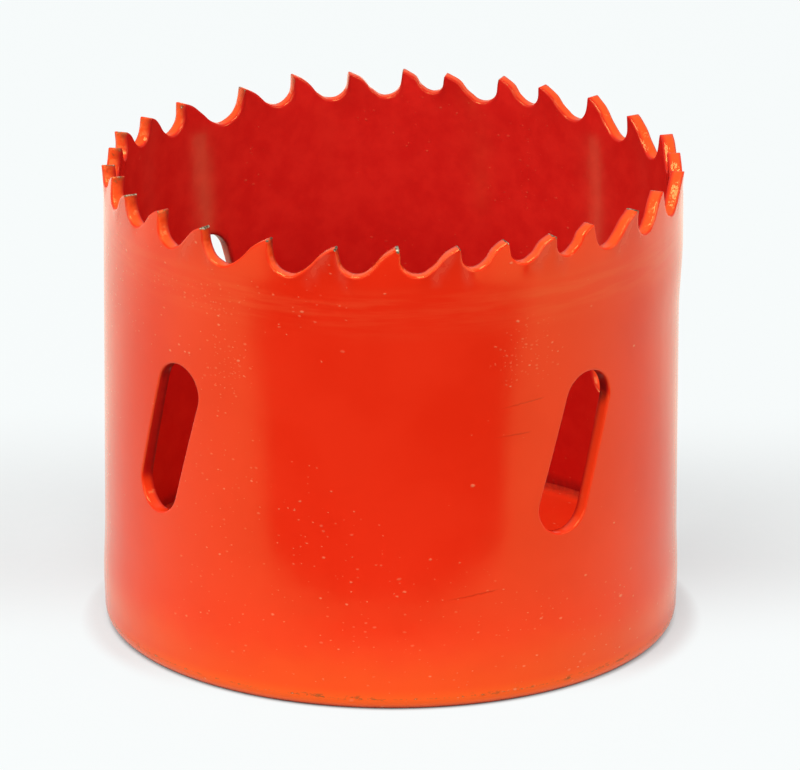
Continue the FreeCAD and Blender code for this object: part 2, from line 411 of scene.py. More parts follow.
    # Painted shade in the corner round the cap, on the slots' ends and under the lip, and
    # darkening on cutting faces, broken up by mottling.
    mottled = add(m, "MapRange", [field["mottle"], 0.36, 0.62, 0.7, 1.0], **SMOOTH)[0]
    painted_shade = add(m, "Math", [painted_shade, mottled], operation="MULTIPLY")[0]

    # Stain and chips: where wear, broken up by grain, passes a first and a second limit.
    worn = add(m, "Math", [field["grain"], 0.9], operation="MULTIPLY")[0]
    worn = add(m, "Math", [wear, worn], operation="ADD")[0]
    stain = add(m, "MapRange", [worn, 0.84, 1.02], **SMOOTH)[0]
    stain = add(m, "Math", [stain, 0.6], operation="MULTIPLY")[0]
    coats.append((stain, srgb("#8c5a30")))
    chip = add(m, "MapRange", [worn, 1.0, 1.06], **SMOOTH)[0]
    steel = add(m, "MapRange", [field["steel"], 0.4, 0.6], **SMOOTH)[0]
    steel = add(m, "Mix", {0: steel, 6: srgb("#6b6146"), 7: srgb("#e0d9bc")}, **COLOUR)[2]

    for share, coat in coats:
        colour = add(m, "Mix", {0: share, 6: colour, 7: coat}, **COLOUR)[2]

    # Relief in millimetres: orange peel, wet lumps on the tooth edges, runs, nibs and marks.
    peel = add(m, "Math", [field["peel"], 0.014], operation="MULTIPLY")[0]
    fine = add(m, "Math", [field["fine peel"], 0.0035], operation="MULTIPLY")[0]
    lumps = add(m, "Math", [field["lumps"], edge], operation="MULTIPLY")[0]
    lumps = add(m, "Math", [lumps, 0.11], operation="MULTIPLY")[0]
    runs = add(m, "Math", [field["runs"], 0.02], operation="MULTIPLY")[0]
    peel = add(m, "Math", [peel, fine], operation="ADD")[0]
    lumps = add(m, "Math", [lumps, runs], operation="ADD")[0]
    height = add(m, "Math", [peel, lumps], operation="ADD")[0]
    marks = (("ADD", nib, 0.035), ("SUBTRACT", scratch, 0.004), ("SUBTRACT", chip, 0.05))
    for change, mark, size in marks:
        mark = add(m, "Math", [mark, size], operation="MULTIPLY")[0]
        height = add(m, "Math", [height, mark], operation=change)[0]
    bump = add(m, "Bump", {"Height": height, "Strength": 1.0, "Distance": MM})[0]

    gloss = {
        "Base Color": colour,
        "Roughness": add(m, "Math", [sheen_streak, 0.2, 0.16], operation="MULTIPLY_ADD")[0],
        "IOR": 1.5,
        "Specular Tint": srgb("#fff08c"),
        "Normal": bump,
    }
    bare = {"Base Color": steel, "Metallic": 0.85, "Roughness": 0.45, "Normal": bump}
    # A dark, rough, less shiny finish where shade is painted.
    shade_finish = {
        "Base Color": srgb("#6a0708"),
        "Roughness": 0.7,
        "Specular IOR Level": 0.15,
        "Normal": bump,
    }
    gloss, bare, shade_finish = (add(m, "BsdfPrincipled", inputs)[0] for inputs in (gloss, bare, shade_finish))
    # Where shade is painted, the gloss gives way to that dark finish.
    darkened = add(m, "MixShader", [painted_shade, gloss, shade_finish])[0]
    both = add(m, "MixShader", [chip, darkened, bare])[0]
    add(m, "OutputMaterial", {"Surface": both})
    return m


def studio_white_paper():
    """Matt white studio paper: an even pale floor that takes a soft shadow.  Seen directly it
    glows, as overexposed paper does, least close round the saw and in a band beside and behind it,
    which is painted shade, and gloss sees it warmed by the lamps.  Places here are in metres."""
    m = new_material("studio_white_paper")
    place = add(m, "TexCoord")["Object"]
    inputs = {"Vector": place, "Scale": 900.0, "Detail": 2.0, "Roughness": 0.5}
    speck = add(m, "TexNoise", inputs)[0]
    white = add(m, "Mix", {0: speck, 6: srgb("#c8caca"), 7: srgb("#cdcfcf")}, **COLOUR)[2]
    matt = add(m, "BsdfDiffuse", {"Color": white})[0]
    level = add(m, "Mapping", {"Vector": place, "Rotation": (0, 0, -VIEW_TURN)})[0]
    away = add(m, "SeparateXYZ", [level])[1]
    middle = add(m, "VectorMath", [place], operation="LENGTH")["Value"]

    # Painted shade: a band on the paper beside and behind the saw's foot, made patchy.
    shade_band = add(m, "MapRange", [away, -0.010, 0.015], **SMOOTH)[0]
    behind = add(m, "MapRange", [away, 0.026, 0.056, 0.85, 0.0], **SMOOTH)[0]
    shade_band = add(m, "Math", [shade_band, behind], operation="MULTIPLY")[0]
    inputs = {"Vector": place, "Scale": 14.0, "Detail": 1.0, "Roughness": 0.5}
    patchy = add(m, "TexNoise", inputs)[0]
    patchy = add(m, "MapRange", [patchy, 0.3, 0.7, 0.75, 1.15], **SMOOTH)[0]
    shade_band = add(m, "Math", [shade_band, patchy], operation="MULTIPLY")[0]
    # Painted shade close round the saw's foot, at its sides and back.
    close = add(m, "MapRange", [middle, 0.0262, 0.0285, 1.0, 0.0], **SMOOTH)[0]
    beside = add(m, "MapRange", [away, -0.022, -0.010], **SMOOTH)[0]
    close = add(m, "Math", [close, beside], operation="MULTIPLY")[0]
    shade = add(m, "Math", [shade_band, close], operation="MAXIMUM")[0]
    shade = add(m, "Math", [shade, 0.42], operation="MULTIPLY")[0]
    share = add(m, "Math", [0.9, shade], operation="SUBTRACT")[0]

    ray = add(m, "LightPath")
    glossy = ray["Is Glossy Ray"]
    tint = add(m, "Mix", {0: glossy, 6: srgb("#fbffff"), 7: srgb("#fff9e6")}, **COLOUR)[2]
    strength = add(m, "MapRange", [middle, 0.100, 0.135, 0.22, 0.6], **SMOOTH)[0]
    strength = add(m, "Math", [glossy, strength, 1.0], operation="MULTIPLY_ADD")[0]
    glow = add(m, "Emission", {"Color": tint, "Strength": strength})[0]
    direct = [ray["Is Camera Ray"], ray["Is Transmission Ray"]]
    direct = add(m, "Math", direct, operation="MAXIMUM")[0]
    # Painted shade in the gloss: the paper that the saw all but touches glows less.
    hug = add(m, "MapRange", [middle, 0.0258, 0.0310, 0.5, 0.0], **SMOOTH)[0]
    hug = add(m, "Math", [glossy, hug], operation="MULTIPLY")[0]
    seen = add(m, "Math", [direct, glossy], operation="ADD")[0]
    seen = add(m, "Math", [seen, hug], operation="SUBTRACT")[0]
    seen = add(m, "Math", [seen, share], operation="MULTIPLY", use_clamp=True)[0]
    # Under the saw no light reaches the paper.
    lit = add(m, "MapRange", [middle, 0.0245, 0.0256], **SMOOTH)[0]
    seen = add(m, "Math", [seen, lit], operation="MULTIPLY")[0]
    both = add(m, "MixShader", [seen, matt, glow])[0]
    add(m, "OutputMaterial", {"Surface": both})
    return m


def dark_reflection_card():
    """Dark matt card for the painted dark reflection: it gives the eye no light back, and fades
    out by its opacity value.
    """
    m = new_material("dark_reflection_card")
    opacity = add(m, "Attribute", attribute_name="opacity")["Fac"]
    black = add(m, "BsdfDiffuse", {"Color": srgb("#33302e")})[0]
    clear = add(m, "BsdfTransparent")[0]
    both = add(m, "MixShader", [opacity, clear, black])[0]
    add(m, "OutputMaterial", {"Surface": both})
    return m


ENAMEL = red_gloss_enamel()


# ---------------------------------------------------------------- the toothed wall
# The wall's grid: columns round it, close rows over the lip and even rows above.
COLUMNS, ROW_START, ROW_STEP = 240, 3.0, 0.62
LOW_ROWS = np.array([0.12, 0.3, 0.52, 0.78, 1.1, 1.35, 1.8, 2.4])
# Two lines of points follow the rim and one each slot, and these gaps are kept between the grid
# and an edge, the grid and those lines, and the lines' own points.
RIM_REACHES, SLOT_REACH = (0.14, 0.34), 0.25
EDGE_GAP, LINE_GAP, POINT_GAP = 0.32, 0.25, 0.08


def outer_radius(z):
    """Radius of the wall's outside at each height: a short convex lip at the foot, a slight swell
    over the end cap, and straight above."""
    lip = (LIP_DEPTH**2 + LIP_HEIGHT**2) / (2 * LIP_DEPTH)
    below = np.clip(LIP_HEIGHT - z, 0, LIP_HEIGHT)
    foot = RIM_RADIUS - lip + np.sqrt(lip**2 - below**2)
    rise = smooth_step(z, LIP_HEIGHT - 0.8, SWELL_HEIGHT)
    fall = 1 - smooth_step(z, SWELL_HEIGHT, SWELL_END)
    return foot + SWELL_OUT * np.where(z < LIP_HEIGHT, 0.0, rise * fall)


def rim_line():
    """The toothed rim, unrolled: for each gap a steep cutting face, a round floor, and the next
    tooth's back, which leaves the floor as its tangent, sways a little as sin(2 pi t) along its
    run, and flattens before the tip.  The corners are eased as the enamel eases them, and points
    lie closer where the line turns."""
    fine_step, ease = 0.03, 0.09
    waver, shortest_wave, wave_seed = 0.02, 1.2, 5
    closest, widest = 0.06, 0.3
    least_rounding, most_rounding, rounding_slope = 0.015, 0.17, 0.14
    runs = []
    for k in range(TEETH):
        drop = RNG.uniform(0.0, TIP_DROP)
        start, pitch, depth, radius = TIPS[k], PITCHES[k], GULLET_DEPTHS[k], GULLET_RADII[k]
        tip = HEIGHT - WORN[(k + 1) % TEETH]
        middle = np.array([start + GULLET_RUNS[k], HEIGHT - depth + radius])
        heel = np.array(
            [
                start + pitch - LAND - RELIEF_LENGTH * math.cos(RELIEF_ANGLE),
                tip - RELIEF_LENGTH * math.sin(RELIEF_ANGLE),
            ]
        )
        away = heel - middle
        touch = math.atan2(away[1], away[0]) - math.acos(radius / np.hypot(*away))
        turn = np.linspace(FACE_SLANT - math.pi, touch, 40)
        floor = middle + radius * np.stack([np.cos(turn), np.sin(turn)], 1)
        t = np.linspace(0, 1, 30)[1:, None]
        along = heel - floor[-1]
        across = np.array([-along[1], along[0]]) / np.hypot(*along)
        back = floor[-1] + along * t - across * BACK_SWAY * np.sin(2 * math.pi * t)
        land = [[start + pitch - LAND, tip - drop], [start + pitch, tip - 1.3 * drop]]
        runs.append(np.concatenate([floor, back, land]))
    line = np.concatenate(runs)
    line = np.concatenate([line, line[:1] + [ROUND, 0]])
    length = np.concatenate([[0], np.cumsum(np.hypot(*np.diff(line, axis=0).T))])
    count = int(length[-1] / fine_step)
    even = np.linspace(0, length[-1], count, endpoint=False)
    x = np.interp(even, length, line[:, 0]) - even / length[-1] * ROUND
    z = np.interp(even, length, line[:, 1])
    gap = length[-1] / count
    x, z = blur(x, gap, ease), blur(z, gap, ease)
    dx = np.gradient(x) / gap + ROUND / length[-1]
    dz = np.gradient(z) / gap
    angle = np.unwrap(np.arctan2(dz, dx))
    bend = blur(np.gradient(angle) / gap, gap, 0.03)
    out = waver * waves(even, length[-1], shortest_wave, wave_seed)
    norm = np.hypot(dx, dz)
    x, z = x - out * dz / norm, z + out * dx / norm
    spacing = np.clip(0.28 / np.maximum(np.abs(bend), 1e-6), closest, widest)
    steps = np.concatenate([[0], np.cumsum(gap / blur(spacing, gap, 0.08))])
    total = int(steps[-1])
    pick = np.interp(np.arange(total) / total * steps[-1], steps, np.arange(count + 1))
    ids = np.arange(count + 1)

    def sample(values, period=0.0):
        """Values of the even run, read at the chosen points."""
        return np.interp(pick, ids, np.append(values, values[0] + period))

    places = sample(x + even / length[-1] * ROUND, ROUND)
    # The rounding is small where the line turns tightly round a tip, and grows away from there.
    limit = np.clip(0.3 / np.maximum(-bend, 1e-6), least_rounding, most_rounding)
    shifts = range(-int(1.0 / gap), int(1.0 / gap) + 1)
    rounding = [np.roll(limit, n) + rounding_slope * gap * abs(n) for n in shifts]
    rounding = np.min(rounding, 0)
    rounding = blur(rounding, gap, 0.02)
    line = np.stack([places, sample(z)], 1)
    inward = np.stack([sample(dz / norm), -sample(dx / norm)], 1)
    # The seam lies at the deepest point of the last gap, which the butt weld crosses.
    last = line[:, 0] > TIPS[-1]
    first = np.argmin(np.where(last, line[:, 1], 99.0))
    line = np.roll(line, -first, 0)
    line[:, 0] -= np.where(np.arange(total) < total - first, ROUND, 0.0)
    inward = np.roll(inward, -first, 0)
    return line, inward, without_folds(line, inward, np.roll(sample(rounding), -first))


def without_folds(line, inward, rounding):
    """Eases the rounding wherever the line moved inward by it would fold back on itself."""
    step = np.roll(line, -1, 0) - line
    step[-1] = step[-2]
    for _ in range(30):
        moved = line + inward * (rounding * SUPPORT)[:, None]
        moved_step = np.roll(moved, -1, 0) - moved
        moved_step[-1] = moved_step[-2]
        folds = (moved_step * step).sum(1) < 0.2 * (step**2).sum(1)
        if not folds.any():
            break
        near = np.any([np.roll(folds, n) for n in (-1, 0, 1, 2)], 0)
        rounding = np.where(near, 0.85 * rounding, rounding)
    return rounding


def slot_line(centre):
    """A round-ended slot, unrolled, leaning towards the cutting direction: two half circles
    joined by straight sides.  Gives its points and their directions out of the slot."""
    half_run = SLOT_LENGTH / 2 - SLOT_WIDTH / 2
    half = SLOT_WIDTH / 2
    ends = np.linspace(0, math.pi, 30)
    side = np.linspace(half_run, -half_run, 36)[1:-1]
    straight, level = np.ones(len(side)), np.zeros(len(side))
    nx = np.concatenate([np.cos(ends), -straight, -np.cos(ends), straight])
    ny = np.concatenate([np.sin(ends), level, -np.sin(ends), level])
    x = half * nx
    y = [half_run + half * np.sin(ends), side, -half_run - half * np.sin(ends), -side]
    y = np.concatenate(y)
    c, s = math.cos(SLOT_TILT), math.sin(SLOT_TILT)
    line = np.stack([centre + c * x + s * y, SLOT_HEIGHT - s * x + c * y], 1)
    return line, np.stack([c * nx + s * ny, -s * nx + c * ny], 1)


def set_of_teeth(s, z):
    """How far each tooth leans out or in at a point of the unrolled wall: alternate teeth lean
    out and in, the lean grows from below the gullets to the tips as height to the power 1.6, and
    it changes over in the gullets."""
    floors = TIPS + GULLET_RUNS
    lean = np.where(np.arange(TEETH) % 2 == 0, -1.0, 1.0) * LEANS
    around = (s - floors[-1]) % ROUND + floors[-1] - ROUND
    before = np.searchsorted(floors, around) - 1
    here = lean[(before + 1) % TEETH]
    previous = lean[before % TEETH]
    following = lean[(before + 2) % TEETH]
    low = np.where(before < 0, floors[-1] - ROUND, floors[before])
    high = np.where(before + 1 >= TEETH, floors[0] + ROUND, floors[(before + 1) % TEETH])
    near_low = 0.5 * (1 - smooth_step(around - low, -0.9, 0.9))
    near_high = 0.5 * (1 - smooth_step(high - around, -0.9, 0.9))
    blend = here + (previous - here) * near_low + (following - here) * near_high
    grow = np.clip((z - (HEIGHT - SET_HEIGHT)) / SET_HEIGHT, 0, 1.1) ** 1.6
    return TOOTH_SET * blend * grow


def out_of_round(turn, z):
    """The rolled strip stands proud towards the rim on one side: a cosine squared bump."""
    bump = np.clip(np.cos(turn - FLARE_ANGLE), 0, 1) ** 2
    return FLARE * bump * smooth_step(z, FLARE_START, FLARE_FULL)


def on_wall(flat, depth):
    """Bends unrolled points at a depth below the outside into the round wall."""
    s, z = flat[:, 0], flat[:, 1]
    outside = outer_radius(z)
    turn = s / RIM_RADIUS
    radius = outside - depth / WALL * (outside - INNER_RADIUS)
    radius = radius + set_of_teeth(s, z) + out_of_round(turn, z)
    return np.stack([radius * np.sin(turn), -radius * np.cos(turn), z], 1)


def toothed_wall():
    """The rolled strip: outside and inside are one unrolled sheet with rounded edges, bent round.
    The sheet is a net of triangles between its outline, the slots and a grid of points, and each
    edge is a run of rings from the outside, in quarter circles, to the inside."""
    rim, rim_in, rim_round = rim_line()
    seam = rim[0, 0]
    slots = [slot_line(ROUND / SLOTS * k) for k in range(SLOTS)]
    # The sheets end a little way in from where the edges begin to turn.
    rim_inset = rim + rim_in * (rim_round * SUPPORT)[:, None]
    slot_insets = [line + out * SLOT_ROUNDING * SUPPORT for line, out in slots]

    columns = seam + ROUND * np.arange(1, COLUMNS) / COLUMNS
    rows = np.concatenate([LOW_ROWS, np.arange(ROW_START, HEIGHT, ROW_STEP)])
    foot = np.stack([np.append(columns, 0)[:-1], np.zeros(len(columns))], 1)
    start = rim_inset[0]
    seam_rows = rows[rows < start[1] - 0.3]
    left = np.stack([np.full(len(seam_rows), start[0]), seam_rows], 1)
    outline = np.concatenate(
        [
            [[start[0], 0.0]],
            foot,
            [[start[0] + ROUND, 0.0]],
            left + [ROUND, 0],
            [[start[0] + ROUND, start[1]]],
            rim_inset[:0:-1],
            [start],
            left[::-1],
        ]
    )
    lines = np.concatenate([rim_inset, rim_inset[:1] + [ROUND, 0]] + slot_insets)
    grid = np.stack(np.meshgrid(columns, rows), -1).reshape(-1, 2)
    top = np.interp(grid[:, 0], rim_inset[:, 0], rim_inset[:, 1])
    grid = grid[grid[:, 1] < top + 0.2]
    grid = clear_of(grid, lines, EDGE_GAP)
    # The lines that follow the edges keep the shading even up to them.
    near = []
    for reach in RIM_REACHES:
        row = rim + rim_in * (rim_round * SUPPORT + reach)[:, None]
        row = row[(row[:, 0] > seam + 0.2) & (row[:, 0] < seam + ROUND - 0.2)]
        near.append(clear_of(row, lines, reach * 0.8))
    for line, out in slots:
        near.append((line + out * (SLOT_ROUNDING * SUPPORT + SLOT_REACH))[::2])
    near = clear_of_each_other(np.concatenate(near), POINT_GAP)
    grid = clear_of(grid, near, LINE_GAP)
    points, tris = fill([outline] + slot_insets, np.concatenate([near, grid]))

    # The outline's two ends are one line on the round wall, so its numbers are put together.
    count = len(points)
    vertices = [on_wall(points, 0.0), on_wall(points, WALL)]
    remap = np.arange(2 * count)
    foot_count, seam_count = len(foot), len(seam_rows)
    right_foot = foot_count + 1
    right_seam = right_foot + 1 + np.arange(seam_count)
    right_top = right_foot + 1 + seam_count
    rim_ids = right_top + 1 + np.arange(len(rim) - 1)[::-1]
    rim_ids = np.concatenate([[right_top + len(rim)], rim_ids])
    left_seam = rim_ids[0] + 1 + np.arange(seam_count)[::-1]
    for side in (0, count):
        remap[right_foot + side] = side
        remap[right_top + side] = rim_ids[0] + side
        remap[right_seam + side] = left_seam + side

    flat_points = [points, points]
    depths = [np.zeros(count), np.full(count, WALL)]
    faces = [remap[tris], remap[tris[:, ::-1] + count]]
    bottom = np.arange(foot_count + 1)
    faces.append(remap[np.stack([bottom, bottom + count, bottom + 1 + count, bottom + 1], 1)])
    quarter = np.radians([22.5, 45, 67.5, 90])
    total = 2 * count
    slot_start = len(outline)
    edges = [(rim, rim_in, rim_round, rim_ids, EDGE_SAG)]
    for line, out in slots:
        ids = slot_start + np.arange(len(line))
        edges.append((line, out, np.full(len(line), SLOT_ROUNDING), ids, 1.0))
        slot_start += len(line)
    # From the outside round the edge, straight across, and round to the inside.
    narrow, deepen = 1 - np.sin(quarter), 1 - np.cos(quarter)
    inset = np.concatenate([[1.0], narrow, [0.0, 0.0], narrow[::-1], [1.0]])
    for line, inward, rounding, ids, stretch in edges:
        sag = rounding * stretch
        outer_turn = [sag * v for v in (0.0, *deepen)]
        across = WALL - rounding - sag
        middle = [sag + across / 3, sag + across * 2 / 3]
        inner_turn = [WALL - rounding * v for v in (*deepen[::-1], 0.0)]
        rings = [ids]
        for reach, deep in zip(inset, outer_turn + middle + inner_turn):
            flat = line + inward * (rounding * reach)[:, None]
            vertices.append(on_wall(flat, deep))
            flat_points.append(flat)
            depths.append(deep)
            rings.append(total + np.arange(len(line)))
            total += len(line)
        rings.append(ids + count)
        faces.append(remap_all(remap, ring_quads(rings)))
    vertices = np.concatenate(vertices)
    flat_points = np.column_stack([np.concatenate(flat_points), np.concatenate(depths)])
    vertices, faces, flat_points = drop_unused(vertices, faces, flat_points)
    wall = piece("toothed_wall", vertices, faces, flat_points[:, :2], ENAMEL)
    s, z, depth = flat_points.T
    paint(wall, "wear", wear_of_wall(s, z))
    paint(wall, "inside", inside_of_wall(s, z, depth))
    paint(wall, "edge", edge_of_wall(s, z, depth))
    paint(wall, "sheen_streaks", sheen_streaks_of_wall(s, z, depth))
    paint(wall, "painted_shade", painted_shade_of_wall(s, z, depth))
    return wall


def clear_of_each_other(points, gap):
    """Thins points to the first in each square cell with sides of this gap."""
    cells = np.round(points / gap).astype(np.int64)
    more_than_rows = 1000003
    numbers = cells[:, 0] * more_than_rows + cells[:, 1]
    _, first = np.unique(numbers, return_index=True)
    return points[np.sort(first)]


def remap_all(remap, quads):
    """Puts seam vertices together; numbers beyond the map are already single."""
    full = np.arange(quads.max() + 1)
    full[: len(remap)] = remap
    return full[quads]


def drop_unused(vertices, faces, flat):
    """Leaves out vertices that no face uses."""
    used = np.unique(np.concatenate([f.ravel() for f in faces]))
    number = np.zeros(len(vertices), int)
    number[used] = np.arange(len(used))
    return vertices[used], [number[f] for f in faces], flat[used]


def from_tips(s):
    """Run along the wall from the nearest tip, positive on the side of its cutting face."""
    around = (s[:, None] - TIPS[None, :] + ROUND / 2) % ROUND - ROUND / 2
    nearest = np.abs(around).argmin(1)
    return around[np.arange(len(s)), nearest], nearest


def wear_of_wall(s, z):
    """Wear is strongest at the tooth tips and fades within half a millimetre, most of all on the
    side that faces the viewer.  A little runs down the corner of each cutting face, and a little
    along the upper line of the lip at the foot."""
    run, nearest = from_tips(s)
    drop = HEIGHT - WORN[nearest] - z
    facing = np.cos(TIPS[nearest] / RIM_RADIUS - VIEW_TURN - 0.25)
    size = (0.8 + 0.25 * np.sin(nearest * 2.4)) * (0.72 + 0.38 * facing)
    away = np.hypot(np.where(run > 0, run * 1.6, run * 1.1), drop)
    strength = (0.62 + 0.22 * np.clip(facing, 0, 1)) * np.exp(-((away / (0.4 * size)) ** 2))
    face = 0.46 * smooth_step(run, -0.15, 0.02) * np.exp(-((drop / 1.3) ** 2))
    face = face * (1 - smooth_step(run, 0.25, 0.5))
    lip = 0.44 * np.exp(-(((z - LIP_HEIGHT) / 0.2) ** 2))
    return np.maximum(np.maximum(strength, face), lip)


def edge_of_wall(s, z, depth):
    """The toothed edge, and less strongly the slots' edges that look up, on all but the outermost
    and innermost of the wall's depth: there thick enamel lumps, and a lighter orange is painted
    light from above."""
    near, upward, _ = round_slots(s, z)
    across = smooth_step(depth, 0.03, 0.2) * (1 - smooth_step(depth, WALL - 0.45, WALL - 0.05))
    return across * np.maximum(smooth_step(z, HEIGHT - 4.5, HEIGHT - 3.5), 0.35 * near * upward)


def sheen_streaks_of_wall(s, z, depth):
    """Teeth bent outwards have two streaks on the outside that part from the tip downwards, where
    the gloss is rougher and a paler painted reflection lies."""
    run, nearest = from_tips(s)
    drop = HEIGHT - z
    behind = np.abs(-run - (0.5 + 0.62 * drop))
    ahead = np.abs(run - (0.05 + 0.2 * drop))
    streak = np.maximum(np.exp(-((behind / 0.5) ** 2)), 0.8 * np.exp(-((ahead / 0.35) ** 2)))
    height = smooth_step(drop, 0.1, 0.8) * (1 - smooth_step(drop, 2.6, 4.2))
    return np.where(nearest % 2 == 1, streak * height, 0.0) * (1 - smooth_step(depth, 0.0, 0.5))


def round_slots(s, z):
    """For each point of the unrolled wall: its nearness to a slot's outline, how far the cut face
    there looks up, and its run along the slot from the slot's middle."""
    step = ROUND / SLOTS
    around = (s + step / 2) % step - step / 2
    c, t = math.cos(SLOT_TILT), math.sin(SLOT_TILT)
    across, along = c * around - t * (z - SLOT_HEIGHT), t * around + c * (z - SLOT_HEIGHT)
    beyond = np.maximum(np.abs(along) - (SLOT_LENGTH - SLOT_WIDTH) / 2, 0) * np.sign(along)
    far = np.hypot(across, beyond)
    rise = (t * across - c * beyond) / np.maximum(far, 0.1)
    return 1 - smooth_step(far - SLOT_WIDTH / 2, 0.1, 0.4), smooth_step(rise, -0.1, 0.25), along


def inside_of_wall(s, z, depth):
    """The darker crimson of the inside, painted shade, grows through the wall.  On the slots' cut
    faces it starts at once where they look down, as painted shade, and only near the back on those
    that look up, which stay lighter as painted light."""
    near, upward, _ = round_slots(s, z)
    plain = smooth_step(depth, 0.15 * WALL, 0.95 * WALL)
    lit_upward = smooth_step(depth, 0.5 * WALL, 0.9 * WALL)
    face = upward * lit_upward + (1 - upward) * smooth_step(depth, 0.0, 0.25 * WALL)
    return plain + (face - plain) * near


def painted_shade_of_wall(s, z, depth):
    """Painted shade lies under the lip at the foot, inside in the corner over the cap, and round
    the slots' inner edges and upper ends; the inner part of each cutting face is darkened too."""
    foot = 0.85 * (1 - smooth_step(z, 0.1, 0.45))
    deep = smooth_step(depth, 0.5 * WALL, 0.9 * WALL)
    corner = 0.7 * deep * (1 - smooth_step(z, CAP_THICKNESS + 0.7, CAP_THICKNESS + 2.0))
    near, upward, along = round_slots(s, z)
    slot = near * (1 - upward) * deep
    end = near * smooth_step(along, 4.0, 5.4) * smooth_step(depth, 0.1 * WALL, 0.4 * WALL)
    run, nearest = from_tips(s)
    drop = HEIGHT - WORN[nearest] - z
    face = smooth_step(run, -0.12, 0.02) * (1 - smooth_step(run, 0.3, 0.7))
    face = face * np.exp(-((drop / 1.6) ** 2)) * smooth_step(depth, 0.2, 0.8)
    return np.max([foot, corner, 0.55 * slot, 0.75 * end, 0.5 * face], 0)


# ---------------------------------------------------------------- the end cap
def circle(radius, count, centre=(0.0, 0.0)):
    """Points evenly round a circle."""
    turn = 2 * math.pi * np.arange(count) / count
    return np.stack([centre[0] + radius * np.cos(turn), centre[1] + radius * np.sin(turn)], 1)


def end_cap():
    """The seated disc: flat faces with rounded edges, drive-pin holes, and a helical thread whose
    radius swings between minor and major once a pitch and opens into a cone at each mouth."""
    rim_points, thread_points, pin_points, thread_rings = 160, 128, 64, 82
    pin_angles = (PIN_ANGLE, PIN_ANGLE + math.pi)
    pins = [np.array([math.sin(a), -math.cos(a)]) * PIN_CIRCLE for a in pin_angles]
    rims = [circle(INNER_RADIUS - CAP_FILLET, rim_points), circle(THREAD_MOUTH, thread_points)]
    rims += [circle(PIN_RADIUS + PIN_EDGE, pin_points, p) for p in pins]
    spread = [circle(r, int(r * 7)) for r in np.arange(9.0, 24.0, 1.0)]
    spread = clear_of(np.concatenate(spread), np.concatenate(rims), 0.4)
    points, tris = fill(rims, spread)
    number = len(points)
    top = np.column_stack([points, np.full(number, CAP_THICKNESS)])
    low = np.column_stack([points, np.zeros(number)])
    low[: len(rims[0]), :2] *= (INNER_RADIUS - CAP_EDGE) / (INNER_RADIUS - CAP_FILLET)
    vertices, faces, flat = [top, low], [tris, tris[:, ::-1] + number], [points, points]
    total, start = 2 * number, 0
    quarter = np.radians([30, 60, 90])
    widen, rise = np.sin(quarter), 1 - np.cos(quarter)
    for index, rim in enumerate(rims):
        ids = start + np.arange(len(rim))
        start += len(rim)
        rings = [ids]
        if index == 1:
            turn = 2 * math.pi * np.arange(thread_points) / thread_points
            for z in np.linspace(CAP_THICKNESS, 0, thread_rings)[1:-1]:
                phase = (z / THREAD_PITCH + turn / (2 * math.pi)) % 1.0
                # Sloping flanks with a narrow flat at the crest and at the root.
                tooth = np.clip(np.abs(phase - 0.5) * 2.6 - 0.25, 0, 1)
                r = THREAD_MINOR + (THREAD_MAJOR - THREAD_MINOR) * tooth
                r = np.maximum(r, THREAD_MOUTH - min(z, CAP_THICKNESS - z))
                level = np.full(thread_points, z)
                vertices.append(np.column_stack([r * np.cos(turn), r * np.sin(turn), level]))
                flat.append(np.column_stack([r * turn, level]))
                rings.append(total + np.arange(thread_points))
                total += thread_points
        else:
            centre = np.zeros(2) if index == 0 else pins[index - 2]
            outward = (rim - centre) / np.hypot(*(rim - centre).T)[:, None]
            if index == 0:
                # Enamel has gathered in the corner between cap and wall as a hollow fillet.
                reaches = CAP_FILLET * np.append(widen, 1.0)
                heights = CAP_THICKNESS + CAP_FILLET * np.append(rise, -0.8)
                reaches = np.append(reaches, CAP_FILLET - CAP_EDGE + CAP_EDGE * widen[::-1])
                heights = np.append(heights, CAP_EDGE * rise[::-1])
            else:
                reaches = -PIN_EDGE * np.concatenate([widen, [1.0], widen[::-1]])
                down = PIN_EDGE * rise
                heights = np.concatenate([CAP_THICKNESS - down, [CAP_THICKNESS / 2], down[::-1]])
            for reach, z in zip(reaches, heights):
                ring = rim + outward * reach
                vertices.append(np.column_stack([ring, np.full(len(rim), z)]))
                flat.append(ring)
                rings.append(total + np.arange(len(rim)))
                total += len(rim)
        rings.append(ids + number)
        quads = ring_quads(rings)
        faces.append(quads[:, ::-1] if index == 0 else quads)
    vertices = np.concatenate(vertices)
    cap = piece("end_cap_disc", vertices, faces, np.concatenate(flat), ENAMEL)
    # The thread's crests are worn, and painted shade lies in the top's corner.
    radius = np.hypot(vertices[:, 0], vertices[:, 1])
    paint(cap, "wear", 0.66 * np.exp(-(((radius - THREAD_MINOR) / 0.5) ** 2)))
    # Painted shade: the cap takes some of the inside's darker crimson.
    paint(cap, "inside", np.full(len(vertices), 0.3))
    corner = smooth_step(radius, INNER_RADIUS - 0.6, INNER_RADIUS)
    paint(cap, "painted_shade", 0.6 * corner * (vertices[:, 2] > CAP_THICKNESS / 2))
    return cap


wall = toothed_wall()
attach(wall, "root")
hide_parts("saw_body")
cap = end_cap()
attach(cap, "root")
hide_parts("end_cap")


# ---------------------------------------------------------------- floor, light and camera, metres
def turned(x, y, z):
    """Places given in the viewer's directions (x right, y away), in the frame's directions."""
    c, s = math.cos(VIEW_TURN), math.sin(VIEW_TURN)
    return c * x - s * y, s * x + c * y, z


